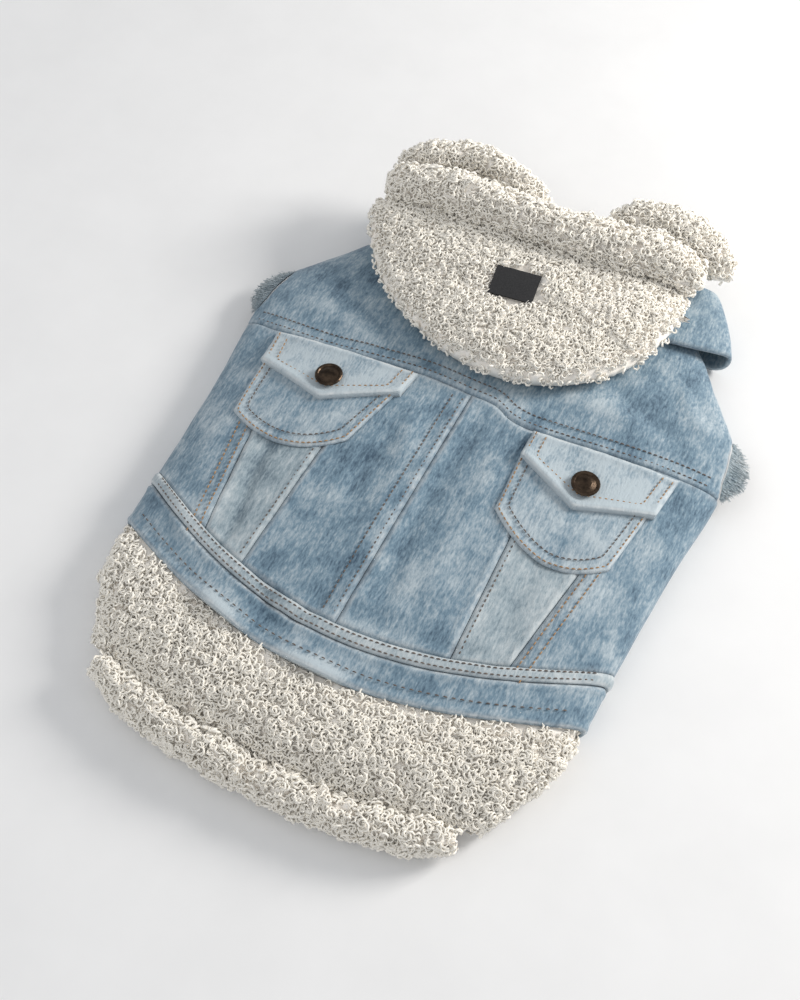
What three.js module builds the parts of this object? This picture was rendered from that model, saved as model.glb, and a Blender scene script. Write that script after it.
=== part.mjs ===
// A denim dog jacket with a sherpa hood and a sherpa tail panel, laid flat on its belly.
// Millimetres. X runs across the back, Y from the tail to the neck, Z is up, and the floor is Z = 0.
// Every cloth piece is a closed wall between two layers of a surface that is worked out from its sizes.
import * as THREE from 'three';

// ---------------------------------------------------------------- driving dimensions

const SEAM_GAP = 0.3;        // clear space between neighbouring pieces
const DENIM = 2.0;           // denim with its backing
const PATCH = 1.2;           // a single extra layer of denim, on pockets and flaps
const SHERPA = 8.0;          // sherpa, backing and pile together
const SHERPA_UNDER = 5.0;    // sherpa where it is pressed under the hood

const SECTION_POWER = 2.7;   // how square the top of a flattened section is
const SIDE_ROUND = 12;       // how far the side turns in under the body
const FLAT_STEP = 100;       // millimetres of flat underside for each whole step past t = 2

// The body as a flattened tube, one row for each section across it.
const BODY = [
  { y: -125, half: 122.0, top: 27.5, fold: 10.0, under: 0 },
  { y: -84, half: 127.0, top: 29.0, fold: 11.0, under: 0 },
  { y: -50, half: 128.5, top: 30.0, fold: 11.0, under: 0 },
  { y: 0, half: 131.5, top: 30.5, fold: 11.0, under: 0 },
  { y: 30, half: 134.5, top: 30.2, fold: 11.0, under: 0 },
  { y: 58, half: 138.0, top: 29.5, fold: 11.0, under: 0 },
  { y: 84, half: 138.5, top: 29.0, fold: 11.0, under: 0 },
  { y: 102, half: 134.0, top: 28.0, fold: 11.0, under: 0 },
  { y: 116, half: 124.0, top: 27.0, fold: 11.0, under: 0 },
  { y: 130, half: 113.0, top: 26.0, fold: 11.5, under: 1.5 },
  { y: 145, half: 102.0, top: 25.0, fold: 12.0, under: 3.4 },
  { y: 158, half: 92.0, top: 23.6, fold: 12.5, under: 4.0 },
  { y: 182, half: 83.0, top: 22.0, fold: 13.0, under: 4.0 },
];
const NECK_Y = 180;          // the neck edge of the bodice
const BELLY_HEM_Y = -50;     // the belly is cut shorter than the back

// The yoke seam, from the left fold to the right one. It jogs where the cloth rucks beside the centre.
const YOKE_SEAM = [
  { x: -139, y: 57 }, { x: -110, y: 54.5 }, { x: -82, y: 54.5 }, { x: -31, y: 60.5 }, { x: 0, y: 60 },
  { x: 14, y: 59.5 }, { x: 25, y: 54.5 }, { x: 38, y: 53.5 }, { x: 95, y: 60.5 }, { x: 139, y: 66 },
];
const WAIST_CENTRE_Y = -92;  // the waist seam at the middle of the back
const WAIST_RISE = 42;       // how much nearer the neck it is at the side folds
const STRIP_WIDTH = 7.5;     // the double-stitched strip above the waistband
const STRIP_PROUD = 0.8;
const BAND_CENTRE_Y = -119;  // the free edge of the waistband
const BAND_RISE = 36;
const BAND_END_T = 2.04;     // the strip and the band end just under the side folds
// The free edge of the band lifts off the sherpa in two waves.
const BAND_WAVES = [
  { x: -54, reach: 24, lift: 6.0 },
  { x: 0, reach: 27, lift: 4.5 },
];

const WEDGE_INNER = { topX: 52.5, bottomX: 57.0 };
const WEDGE_OUTER = { topX: 104.5, bottomX: 82.5 };
const SEAM_TOP_Y = 60;
const SEAM_BOTTOM_Y = -82;
const BELLY_SEAM_X = 104.8;  // where a side panel meets the belly, on the underside

const ARMHOLE = { low: 68, high: 103, topT: 0.88, bellyX: 96 };
const FRILL = { reach: 10.5, thick: 1.6, drop: 6.0 };

// Pocket and flap outlines, seen from above. Each is four sides of a patch of the back.
const FLAPS = {
  right: { inner: [39, 51.8], outer: [117, 61.0], innerLow: [39.5, 34], tip: [75.5, 17], outerLow: [113.5, 34] },
  left: { inner: [-31, 57.8], outer: [-114, 52.6], innerLow: [-33, 41], tip: [-70, 19], outerLow: [-111, 30] },
};
const POCKETS = {
  right: { inner: [38.5, 47], outer: [113.5, 54], innerLow: [41, 0], mid: [75, -17.5], outerLow: [105, -5] },
  left: { inner: [-33, 52], outer: [-112, 46], innerLow: [-44.5, 3], mid: [-74, -13.5], outerLow: [-108, -5] },
};
const FLAP_TIP_LIFT = 2.4;
const BUTTON = { radius: 7.5, height: 3.4, shankRadius: 3.2, shankHeight: 1.2 };
const BUTTON_AT = { right: [76, 31.5], left: [-71, 33] };

// The tail panel, one row for each section from under the band to the crease of the hem.
const TAIL = [
  { v: 0, half: 122.6, top: 25.4, fold: 10.5, under: 2.6 },
  { v: 0.25, half: 123.8, top: 25.0, fold: 10.5, under: 2.6 },
  { v: 0.5, half: 121.5, top: 25.0, fold: 10.5, under: 0 },
  { v: 0.75, half: 113.5, top: 23.5, fold: 10.0, under: 0 },
  { v: 0.92, half: 105.5, top: 19.0, fold: 9.3, under: 0 },
  { v: 1, half: 102.0, top: 14.5, fold: 9.0, under: 0 },
];
const TAIL_TUCK = 13;        // how far the tail panel starts below the waist seam
const TAIL_RIM_T = 2.04;
const CREASE_CENTRE_Y = -162;
const CREASE_RISE = 16;
const CREASE_HALF = 98;
const HEM_ROLL = { deep: 8.6, high: 10.0, half: 93 };

// The turned-down collar, one row for each ring from its free edge over the crest to the neck seam.
const COLLAR = [
  { y: 140, rise: 17, half: 113.0, top: 29.4, fold: 13.5, under: 0 },
  { y: 158, rise: 10, half: 108.5, top: 28.4, fold: 13.5, under: 0 },
  { y: 174, rise: 7, half: 101.5, top: 27.2, fold: 13.5, under: 0 },
  { y: 186, rise: 7, half: 93.5, top: 25.8, fold: 13.5, under: 0.5 },
  { y: 190, rise: 7, half: 89.0, top: 24.4, fold: 13.4, under: 2.0 },
  { y: 189, rise: 6, half: 85.4, top: 22.6, fold: 13.2, under: 3.6 },
  { y: 185, rise: 3, half: 82.6, top: 21.0, fold: 13.0, under: 4.8 },
  { y: 180.4, rise: 0, half: 81.4, top: 20.1, fold: 13.0, under: 5.9 },
];

// The hood, folded back on the yoke. Its outline is a reach from its middle at each bearing.
const HOOD = { x: -12, y: 150, rise: 15.0, power: 2.6 };
const HOOD_REST_GAP = 0.8;     // between the hood's under layer and what it lies on
const HOOD_REST_REACH = 70;    // past this the under layer no longer follows the slope below it
const COLLAR_LAG = 8;          // the collar's edge runs further up at its sides than its table says
const HOOD_OUTLINE = [
  { bearing: -184, reach: 97 }, { bearing: -150, reach: 81 }, { bearing: -120, reach: 75 },
  { bearing: -90, reach: 78 }, { bearing: -60, reach: 84 }, { bearing: -30, reach: 89 },
  { bearing: 8, reach: 93 },
];
// Rolls of sherpa, one row for each section: the middle of the roll and its half depth and height.
const BRIM = [
  { x: -103, y: 164, z: 40.0, deep: 8.0, high: 7.5 }, { x: -96, y: 166, z: 44.5, deep: 11.5, high: 10.0 },
  { x: -72, y: 167.5, z: 50.0, deep: 12, high: 11 }, { x: -45, y: 166, z: 52.0, deep: 12, high: 11.5 },
  { x: -20, y: 165.5, z: 52.5, deep: 12, high: 11.5 }, { x: 4, y: 167, z: 52.5, deep: 12, high: 11.5 },
  { x: 22, y: 169.5, z: 52.5, deep: 12, high: 11.5 }, { x: 42, y: 172.5, z: 51.5, deep: 12, high: 11.5 },
  { x: 62, y: 176, z: 48.5, deep: 11.5, high: 11 }, { x: 76, y: 178, z: 43.5, deep: 9.5, high: 9.5 },
  { x: 81, y: 178.5, z: 41, deep: 6.5, high: 7 },
];
const LOBES = {
  left: [
    { x: -102, y: 182, z: 37.5, deep: 6, high: 6 }, { x: -98, y: 188.3, z: 40.5, deep: 9, high: 9 },
    { x: -87, y: 193.5, z: 43.5, deep: 10, high: 10 }, { x: -70, y: 197.5, z: 46, deep: 10, high: 10.5 },
    { x: -54, y: 197.5, z: 47, deep: 10, high: 10.5 }, { x: -39, y: 194.5, z: 46.5, deep: 9.5, high: 10 },
    { x: -26, y: 189, z: 45.5, deep: 9, high: 9 }, { x: -17, y: 185, z: 42.5, deep: 6, high: 6 },
  ],
  right: [
    { x: 91, y: 187.8, z: 38.5, deep: 5.5, high: 6 }, { x: 86, y: 194.3, z: 41.5, deep: 8.5, high: 9 },
    { x: 76, y: 198.7, z: 44, deep: 11.2, high: 10 }, { x: 62, y: 202.3, z: 46, deep: 12, high: 10 },
    { x: 48, y: 203.3, z: 46.5, deep: 12.5, high: 10 }, { x: 37, y: 199.8, z: 46, deep: 12, high: 9.5 },
    { x: 29.5, y: 195.3, z: 45, deep: 8, high: 8.5 }, { x: 26.5, y: 188.8, z: 42.5, deep: 6, high: 6 },
  ],
};
const LABEL = { x: -5.5, y: 122.5, wide: 25, tall: 18, turn: 7, thick: 0.9 };

const COLOURS = {
  denim: 0x93afc4, denimPale: 0xb4bfc6, sherpa: 0xe9dfd2, bronze: 0x3b302a, label: 0x1d1b1a,
};

// ---------------------------------------------------------------- small helpers

const lerp = THREE.MathUtils.lerp;
const radians = THREE.MathUtils.degToRad;
const fromTo = (from, to, steps) => Array.from({ length: steps + 1 }, (_, k) => lerp(from, to, k / steps));

// A smooth curve through one column of a table: cubic, with its slopes taken from the rows around.
function column(rows, key, value) {
  const slope = (k) => {
    const before = rows[Math.max(k - 1, 0)];
    const after = rows[Math.min(k + 1, rows.length - 1)];
    return (after[value] - before[value]) / (after[key] - before[key]);
  };
  return (at) => {
    const place = THREE.MathUtils.clamp(at, rows[0][key], rows[rows.length - 1][key]);
    let k = 0;
    while (k < rows.length - 2 && place > rows[k + 1][key]) k += 1;
    const span = rows[k + 1][key] - rows[k][key];
    const u = (place - rows[k][key]) / span;
    const from = rows[k][value];
    const to = rows[k + 1][value];
    const rise = u * u * (3 - 2 * u);
    return lerp(from, to, rise)
      + slope(k) * span * u * (1 - u) ** 2 - slope(k + 1) * span * u * u * (1 - u);
  };
}

function columns(rows, key, values) {
  const curves = values.map((value) => column(rows, key, value));
  return (at) => Object.fromEntries(values.map((value, k) => [value, curves[k](at)]));
}

// A smooth hump: 1 at the middle, 0 from `reach` outwards.
function hump(distance, reach) {
  const u = Math.min(Math.abs(distance) / reach, 1);
  return (1 - u * u) ** 2;
}

// ---------------------------------------------------------------- flattened sections

// A flattened section. t is 0 at the middle of the top, 1 at the side fold, 2 where the side has
// turned flat underneath, and more towards the middle of the underside. Negative t is the left half.
function sectionPoint({ half, top, fold, under: low }, t, y) {
  const under = Math.max(low, 0);
  const side = Math.sign(t) || 1;
  const a = Math.abs(t);
  let x;
  let z;
  if (a <= 1) {
    const share = Math.sin(a * Math.PI / 2);
    x = half * share;
    z = fold + (top - fold) * (1 - share ** SECTION_POWER) ** (1 / SECTION_POWER);
  } else if (a <= 2) {
    const turn = (a - 1) * Math.PI / 2;
    x = half - SIDE_ROUND * (1 - Math.cos(turn));
    z = fold - (fold - under) * Math.sin(turn);
  } else {
    x = half - SIDE_ROUND - (a - 2) * FLAT_STEP;
    z = under;
  }
  return new THREE.Vector3(side * x, y, z);
}

const bodySizes = columns(BODY, 'y', ['half', 'top', 'fold', 'under']);
const bodyPoint = (t, y) => sectionPoint(bodySizes(y), t, y);

// The plan width as a share of the half width, 1 anywhere under the side fold.
const share = (t) => Math.sign(t) * (Math.abs(t) < 1 ? Math.sin(Math.abs(t) * Math.PI / 2) : 1);
const tAtX = (x, y) => Math.sign(x) * Math.asin(Math.min(Math.abs(x) / bodySizes(y).half, 1)) * 2 / Math.PI;
const tUnderAtX = (x, y) => 2 + (bodySizes(y).half - SIDE_ROUND - x) / FLAT_STEP;

// The outward normal of a surface point(t, s) whose t runs to the right and s towards the neck.
function normalOf(point, t, s, dt = 0.03, ds = 0.5) {
  const across = point(t + dt, s).sub(point(t - dt, s));
  const along = point(t, s + ds).sub(point(t, s - ds));
  return across.cross(along).normalize();
}

// ---------------------------------------------------------------- closed solids from grids

function solid(vertices, triangles) {
  let volume = 0;
  for (const [a, b, c] of triangles) {
    volume += vertices[a].dot(new THREE.Vector3().crossVectors(vertices[b], vertices[c]));
  }
  const order = volume < 0 ? ([a, b, c]) => [a, c, b] : (face) => face;
  const geometry = new THREE.BufferGeometry();
  geometry.setAttribute('position', new THREE.Float32BufferAttribute(vertices.flatMap((v) => v.toArray()), 3));
  geometry.setIndex(triangles.flatMap(order));
  geometry.computeVertexNormals();
  return geometry;
}

// The wall between two grids of points with the same rows and columns. A ring closes its columns.
function wall(outer, inner, ring = false) {
  const rows = outer.length;
  const cols = outer[0].length;
  const count = rows * cols;
  const at = (i, j) => i * cols + (j % cols);
  const triangles = [];
  const quad = (a, b, c, d) => triangles.push([a, b, c], [a, c, d]);
  const lastCol = ring ? cols : cols - 1;
  for (let j = 0; j < lastCol; j += 1) {
    for (let i = 0; i < rows - 1; i += 1) {
      const [a, b, c, d] = [at(i, j), at(i, j + 1), at(i + 1, j + 1), at(i + 1, j)];
      quad(a, b, c, d);
      quad(count + a, count + d, count + c, count + b);
    }
    const [low, lowNext] = [at(0, j), at(0, j + 1)];
    const [high, highNext] = [at(rows - 1, j), at(rows - 1, j + 1)];
    quad(lowNext, low, count + low, count + lowNext);
    quad(high, highNext, count + highNext, count + high);
  }
  for (let i = 0; i < rows - 1 && !ring; i += 1) {
    const [left, leftNext] = [at(i, 0), at(i + 1, 0)];
    const [right, rightNext] = [at(i, cols - 1), at(i + 1, cols - 1)];
    quad(left, leftNext, count + leftNext, count + left);
    quad(rightNext, right, count + right, count + rightNext);
  }
  return solid([...outer.flat(), ...inner.flat()], triangles);
}

// A layer of cloth: the stretch of a surface's grid between two heights along its normals.
function layer(cells, low, high, ring = false) {
  const shifted = (height) => cells.map((row) => row.map(({ point, normal, raise = 0 }) => (
    point.clone().addScaledVector(normal, height + raise))));
  return wall(shifted(high), shifted(low), ring);
}

// The cells of a patch of the body between two side curves t(y) and two end curves y(t).
function bodyPatch({ left, right, low, high }, rowShares, colShares) {
  return rowShares.map((rowShare) => colShares.map((colShare) => {
    let y = lerp(low(0), high(0), rowShare);
    let t = 0;
    for (let pass = 0; pass < 12; pass += 1) {
      t = lerp(left(y), right(y), colShare);
      y = lerp(low(t), high(t), rowShare);
    }
    return { t, y, point: bodyPoint(t, y), normal: normalOf(bodyPoint, t, y) };
  }));
}

// A closed roll through the sections of a table, each an upright ellipse across the roll's path.
function roll(rows, sides) {
  const vertices = [];
  const triangles = [];
  rows.forEach((row, k) => {
    const before = rows[Math.max(k - 1, 0)];
    const after = rows[Math.min(k + 1, rows.length - 1)];
    const along = new THREE.Vector3(after.x - before.x, after.y - before.y, 0).normalize();
    const across = new THREE.Vector3(-along.y, along.x, 0);
    for (let j = 0; j < sides; j += 1) {
      const turn = 2 * Math.PI * j / sides;
      vertices.push(new THREE.Vector3(row.x, row.y, row.z)
        .addScaledVector(across, row.deep * Math.cos(turn))
        .add(new THREE.Vector3(0, 0, row.high * Math.sin(turn))));
    }
  });
  for (let k = 0; k < rows.length - 1; k += 1) {
    for (let j = 0; j < sides; j += 1) {
      const next = (j + 1) % sides;
      const [a, b] = [k * sides + j, k * sides + next];
      triangles.push([a, b, b + sides], [a, b + sides, a + sides]);
    }
  }
  for (const [ring, flip] of [[0, false], [rows.length - 1, true]]) {
    const { x, y, z } = rows[ring];
    const centre = vertices.push(new THREE.Vector3(x, y, z)) - 1;
    for (let j = 0; j < sides; j += 1) {
      const [a, b] = [ring * sides + j, ring * sides + (j + 1) % sides];
      triangles.push(flip ? [centre, a, b] : [centre, b, a]);
    }
  }
  return solid(vertices, triangles);
}

// ---------------------------------------------------------------- the group and its meshes

const jacket = new THREE.Group();

function addPiece(name, geometry, colour, roughness = 0.9, metalness = 0) {
  const material = new THREE.MeshStandardMaterial({ color: colour, roughness, metalness });
  const mesh = new THREE.Mesh(geometry, material);
  mesh.name = name;
  jacket.add(mesh);
  return mesh;
}

const SIDES = [['left', -1], ['right', 1]];

// ---------------------------------------------------------------- seams of the bodice

const yokeSeamAtX = column(YOKE_SEAM, 'x', 'y');
const YOKE_HALF = YOKE_SEAM[YOKE_SEAM.length - 1].x;
const yokeSeam = (t) => yokeSeamAtX(share(t) * YOKE_HALF);
const waistSeam = (t) => WAIST_CENTRE_Y + WAIST_RISE * share(t) ** 2;
const bandEdge = (t) => BAND_CENTRE_Y + BAND_RISE * share(t) ** 2;

const half = SEAM_GAP / 2;
const wedgeSeamX = (seam, y) => (
  lerp(seam.bottomX, seam.topX, (y - SEAM_BOTTOM_Y) / (SEAM_TOP_Y - SEAM_BOTTOM_Y)));
const backLow = (t) => waistSeam(t) + half;
const backHigh = (t) => yokeSeam(t) - half;

// Where the back panels' columns meet the yoke seam: the yoke uses the same stops.
const seamStops = [];
const noteStops = (cells) => seamStops.push(...cells[cells.length - 1].map(({ t }) => t));

// A stretch of the back between two plan lines x(y) on one side of the garment.
function backPanel(name, side, innerX, outerX, colour, rows, cols) {
  const [a, b] = [(y) => tAtX(side * innerX(y), y), (y) => tAtX(side * outerX(y), y)];
  const edges = side > 0 ? { left: a, right: b } : { left: b, right: a };
  const cells = bodyPatch({ ...edges, low: backLow, high: backHigh }, fromTo(0, 1, rows), fromTo(0, 1, cols));
  noteStops(cells);
  addPiece(name, layer(cells, -DENIM, 0), colour);
}

function buildBack() {
  for (const [word, side] of SIDES) {
    backPanel(`back_${word}`, side, () => half, (y) => wedgeSeamX(WEDGE_INNER, y) - half, COLOURS.denim, 9, 4);
    backPanel(`wedge_${word}`, side, (y) => wedgeSeamX(WEDGE_INNER, y) + half,
      (y) => wedgeSeamX(WEDGE_OUTER, y) - half, COLOURS.denimPale, 9, 3);
    const seamT = (y) => side * tAtX(wedgeSeamX(WEDGE_OUTER, y) + half, y);
    const bellyT = (y) => side * tUnderAtX(BELLY_SEAM_X + half, y);
    const edges = side > 0 ? { left: seamT, right: bellyT } : { left: bellyT, right: seamT };
    const cells = bodyPatch({ ...edges, low: backLow, high: backHigh }, fromTo(0, 1, 9), fromTo(0, 1, 15));
    noteStops(cells);
    addPiece(`side_${word}`, layer(cells, -DENIM, 0), COLOURS.denim);
  }
}

// The yoke runs from its seam to the neck and from armhole to armhole.
const armholeShare = (y) => hump(y - (ARMHOLE.low + ARMHOLE.high) / 2, (ARMHOLE.high - ARMHOLE.low) / 2 + 3) ** 0.4;
const yokeEdgeT = (y) => lerp(1, ARMHOLE.topT, Math.min(armholeShare(y) * 1.15, 1));

function buildYoke() {
  const edges = {
    left: (y) => -yokeEdgeT(y), right: yokeEdgeT,
    low: (t) => yokeSeam(t) + half, high: () => NECK_Y,
  };
  const stops = seamStops.filter((t) => Math.abs(t) < 0.985).concat(-1, 1).sort((a, b) => a - b)
    .filter((t, k, all) => k === 0 || t - all[k - 1] > 0.006);
  const cells = bodyPatch(edges, fromTo(0, 1, 9), stops.map((t) => (t + 1) / 2));
  addPiece('yoke', layer(cells, -DENIM, 0), COLOURS.denim);
}

// The belly lies flat on the floor. Past the armholes it turns up to the shoulder folds.
function bellyEdgeT(y) {
  const seam = tUnderAtX(BELLY_SEAM_X - half, y);
  if (y < ARMHOLE.low - 12) return seam;
  const notch = tUnderAtX(ARMHOLE.bellyX, y);
  if (y < ARMHOLE.low) return lerp(seam, notch, (y - ARMHOLE.low + 12) / 12);
  const shoulder = 1 + 0.01;
  return lerp(notch, shoulder, THREE.MathUtils.smoothstep(y, ARMHOLE.high - 8, ARMHOLE.high + 4));
}

function buildBelly() {
  const ys = [BELLY_HEM_Y, -15, 20, 55, 68, 84, 95, 99, 103, 107, 116, 130, 145, 158, 170, NECK_Y];
  const shares = ys.map((y) => (y - BELLY_HEM_Y) / (NECK_Y - BELLY_HEM_Y));
  const cols = fromTo(-1, 1, 12);
  const cells = shares.map((rowShare) => cols.map((u) => {
    const y = lerp(BELLY_HEM_Y, NECK_Y, rowShare);
    const middleT = 2 + (bodySizes(y).half - SIDE_ROUND) / FLAT_STEP;
    const t = (Math.sign(u) || 1) * lerp(middleT, bellyEdgeT(y), Math.abs(u));
    return { point: bodyPoint(t, y), normal: normalOf(bodyPoint, t, y, Math.min(0.03, middleT - Math.abs(t) + 0.001)) };
  }));
  addPiece('belly', layer(cells.map((row) => row.reverse()), -DENIM, 0), COLOURS.denim);
}

// ---------------------------------------------------------------- waist strip and band

const bandLift = (x) => BAND_WAVES.reduce((sum, { x: at, reach, lift }) => sum + lift * hump(x - at, reach), 0);

function buildWaist() {
  const around = { left: () => -BAND_END_T, right: () => BAND_END_T };
  const colShares = fromTo(0, 1, 56);
  const strip = bodyPatch({
    ...around, low: (t) => waistSeam(t) - STRIP_WIDTH + half, high: (t) => waistSeam(t) - half,
  }, [0, 1], colShares);
  const proud = (t) => STRIP_PROUD * THREE.MathUtils.smoothstep(2 - Math.abs(t), 0, 1);
  const upper = strip.map((row) => row.map((cell) => (
    cell.point.clone().addScaledVector(cell.normal, proud(cell.t)))));
  const lower = strip.map((row) => row.map((cell) => cell.point.clone().addScaledVector(cell.normal, -DENIM)));
  addPiece('waist_strip', wall(upper, lower), COLOURS.denimPale);

  const band = bodyPatch({
    ...around, low: bandEdge, high: (t) => waistSeam(t) - STRIP_WIDTH - half,
  }, fromTo(0, 1, 3), colShares);
  band.forEach((row, i) => row.forEach((cell) => {
    const free = 1 - i / 3;
    cell.raise = bandLift(cell.point.x) * free ** 1.5;
  }));
  addPiece('waistband', layer(band, -DENIM, 0), COLOURS.denim);
}

// ---------------------------------------------------------------- pockets, flaps and buttons

// A patch of the back seen from above, between the plan lines of its upper and lower edges.
function planPatch(upperAt, lowerAt, rows, cols) {
  return fromTo(0, 1, rows).map((rowShare) => fromTo(0, 1, cols).map((colShare) => {
    const [upper, lower] = [upperAt(colShare), lowerAt(colShare)];
    const [x, y] = [lerp(lower[0], upper[0], rowShare), lerp(lower[1], upper[1], rowShare)];
    const t = tAtX(x, y);
    return { point: bodyPoint(t, y), normal: normalOf(bodyPoint, t, y) };
  }));
}

const mix = (a, b, u) => [lerp(a[0], b[0], u), lerp(a[1], b[1], u)];
const bent = (a, middle, b) => (u) => (u < 0.5 ? mix(a, middle, 2 * u) : mix(middle, b, 2 * u - 1));
// A smooth arc through three points.
const arched = (a, middle, b) => (u) => {
  const pull = [0, 1].map((k) => 2 * middle[k] - (a[k] + b[k]) / 2);
  return mix(mix(a, pull, u), mix(pull, b, u), u);
};
const leftToRight = (side, inner, outer) => (side > 0 ? [inner, outer] : [outer, inner]);

function buildPocket(word, side) {
  const pocket = POCKETS[word];
  const flap = FLAPS[word];
  const [topA, topB] = leftToRight(side, pocket.inner, pocket.outer);
  const [lowA, lowB] = leftToRight(side, pocket.innerLow, pocket.outerLow);
  const pocketCells = planPatch((u) => mix(topA, topB, u), arched(lowA, pocket.mid, lowB), 5, 8);
  addPiece(`pocket_${word}`, layer(pocketCells, SEAM_GAP, SEAM_GAP + PATCH), COLOURS.denim);

  const flapBase = 2 * SEAM_GAP + PATCH;
  const [flapA, flapB] = leftToRight(side, flap.inner, flap.outer);
  const [edgeA, edgeB] = leftToRight(side, flap.innerLow, flap.outerLow);
  const flapCells = planPatch((u) => mix(flapA, flapB, u), bent(edgeA, flap.tip, edgeB), 4, 8);
  flapCells.forEach((row, i) => row.forEach((cell) => { cell.raise = FLAP_TIP_LIFT * (1 - i / 4) ** 2; }));
  addPiece(`flap_${word}`, layer(flapCells, flapBase, flapBase + PATCH), COLOURS.denim);

  const [x, y] = BUTTON_AT[word];
  const t = tAtX(x, y);
  const normal = normalOf(bodyPoint, t, y);
  const rowShare = (y - flap.tip[1]) / ((flap.inner[1] + flap.outer[1]) / 2 - flap.tip[1]);
  const seat = flapBase + PATCH + FLAP_TIP_LIFT * (1 - rowShare) ** 2 + 3 * SEAM_GAP;
  const button = addPiece(`button_${word}`, buttonGeometry(), COLOURS.bronze, 0.35, 0.9);
  button.position.copy(bodyPoint(t, y)).addScaledVector(normal, seat);
  button.quaternion.setFromUnitVectors(new THREE.Vector3(0, 1, 0), normal);
}

// A shank button: a short stem under a domed cap with a raised rim.
function buttonGeometry() {
  const { radius, height, shankRadius, shankHeight } = BUTTON;
  const rimTop = height - 0.5;
  const profile = [
    [0, 0], [shankRadius, 0], [shankRadius, shankHeight], [radius - 0.6, shankHeight], [radius, shankHeight + 0.7],
    [radius, rimTop - 0.5], [radius - 0.5, rimTop], [radius - 1.5, rimTop], [radius - 2.0, rimTop - 0.5],
    [radius * 0.4, height - 0.2], [0, height],
  ];
  return new THREE.LatheGeometry(profile.map(([r, y]) => new THREE.Vector2(r, y)), 24);
}

// ---------------------------------------------------------------- armhole frills

function buildFrill(word, side) {
  const ys = fromTo(ARMHOLE.low + 1, ARMHOLE.high + 1, 10);
  const upper = [];
  const lower = [];
  for (const y of ys) {
    const edge = bodyPoint(side * yokeEdgeT(y), y);
    const swell = Math.sqrt(Math.max(hump(y - (ARMHOLE.low + ARMHOLE.high + 2) / 2, 19.5), 0.02));
    const top = [];
    const bottom = [];
    for (const out of [0, 0.5, 1]) {
      const point = new THREE.Vector3(
        edge.x + side * (SEAM_GAP + 0.6 + FRILL.reach * swell * out), y, edge.z - FRILL.drop * swell * out);
      top.push(point);
      bottom.push(point.clone().add(new THREE.Vector3(0, 0, -FRILL.thick)));
    }
    upper.push(side > 0 ? top : top.reverse());
    lower.push(side > 0 ? bottom : bottom.reverse());
  }
  addPiece(`frill_${word}`, wall(upper, lower), COLOURS.denim);
}

// ---------------------------------------------------------------- tail panel and hem

const tailSizes = columns(TAIL, 'v', ['half', 'top', 'fold', 'under']);
const tailStart = (t) => waistSeam(t) - TAIL_TUCK;
const crease = (x) => CREASE_CENTRE_Y + CREASE_RISE * Math.abs(x / CREASE_HALF) ** 2.4;

function tailPoint(t, v) {
  const sizes = tailSizes(v);
  const y = lerp(tailStart(t), crease(share(t) * Math.min(sizes.half, CREASE_HALF)), v);
  return sectionPoint(sizes, t, y);
}

function buildTail() {
  const cells = fromTo(0, 1, 7).map((v) => fromTo(-TAIL_RIM_T, TAIL_RIM_T, 30).map((t) => ({
    point: tailPoint(t, v), normal: normalOf(tailPoint, t, THREE.MathUtils.clamp(v, 0.02, 0.98), 0.03, 0.02).negate(),
  })));
  addPiece('tail_panel', layer(cells, -SHERPA, 0), COLOURS.sherpa);

  const rows = fromTo(-HEM_ROLL.half, HEM_ROLL.half, 20).map((x) => {
    const slope = (crease(x + 1) - crease(x - 1)) / 2;
    const down = new THREE.Vector2(slope, -1).normalize();
    const inset = HEM_ROLL.deep - 0.1;
    const end = Math.sqrt(Math.max(1 - (Math.abs(x) / (HEM_ROLL.half + 3)) ** 6, 0));
    return {
      x: x + down.x * inset, y: crease(x) + down.y * inset, z: HEM_ROLL.high,
      deep: HEM_ROLL.deep * end, high: HEM_ROLL.high * end ** 0.6,
    };
  });
  addPiece('hem_roll', roll(rows, 12), COLOURS.sherpa);
}

// ---------------------------------------------------------------- collar

function buildCollar() {
  const cols = 32;
  const cells = COLLAR.map((row) => {
    const middleT = 2 + (row.half - SIDE_ROUND) / FLAT_STEP;
    return fromTo(-middleT, middleT, cols).slice(0, cols).map((t) => (
      sectionPoint(row, t, row.y + row.rise * share(t) ** 4)));
  });
  const inner = cells.map((line, i) => line.map((point, j) => {
    const after = cells[Math.min(i + 1, cells.length - 1)][j];
    const before = cells[Math.max(i - 1, 0)][j];
    const across = line[(j + 1) % cols].clone().sub(line[(j + cols - 1) % cols]);
    const normal = across.cross(after.clone().sub(before)).normalize();
    return point.clone().addScaledVector(normal, -DENIM);
  }));
  addPiece('collar', wall(cells, inner, true), COLOURS.denim);
}

// ---------------------------------------------------------------- hood

const hoodReach = column(HOOD_OUTLINE, 'bearing', 'reach');
const collarSizes = columns(COLLAR.slice(0, 4), 'y', ['half', 'top', 'fold', 'under']);
const brimRow = columns(BRIM, 'x', ['y', 'z', 'deep', 'high']);

function hoodEdge(bearing, inset) {
  const reach = hoodReach(bearing) - inset;
  return [HOOD.x + reach * Math.cos(radians(bearing)), HOOD.y + reach * Math.sin(radians(bearing))];
}

function hoodHeight(x, y, inset) {
  let bearing = THREE.MathUtils.radToDeg(Math.atan2(y - HOOD.y, x - HOOD.x));
  if (bearing > 90) bearing -= 360;
  const out = Math.min(Math.hypot(x - HOOD.x, y - HOOD.y) / (hoodReach(bearing) - inset), 1);
  return (1 - out ** HOOD.power) ** (1 / HOOD.power);
}

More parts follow.
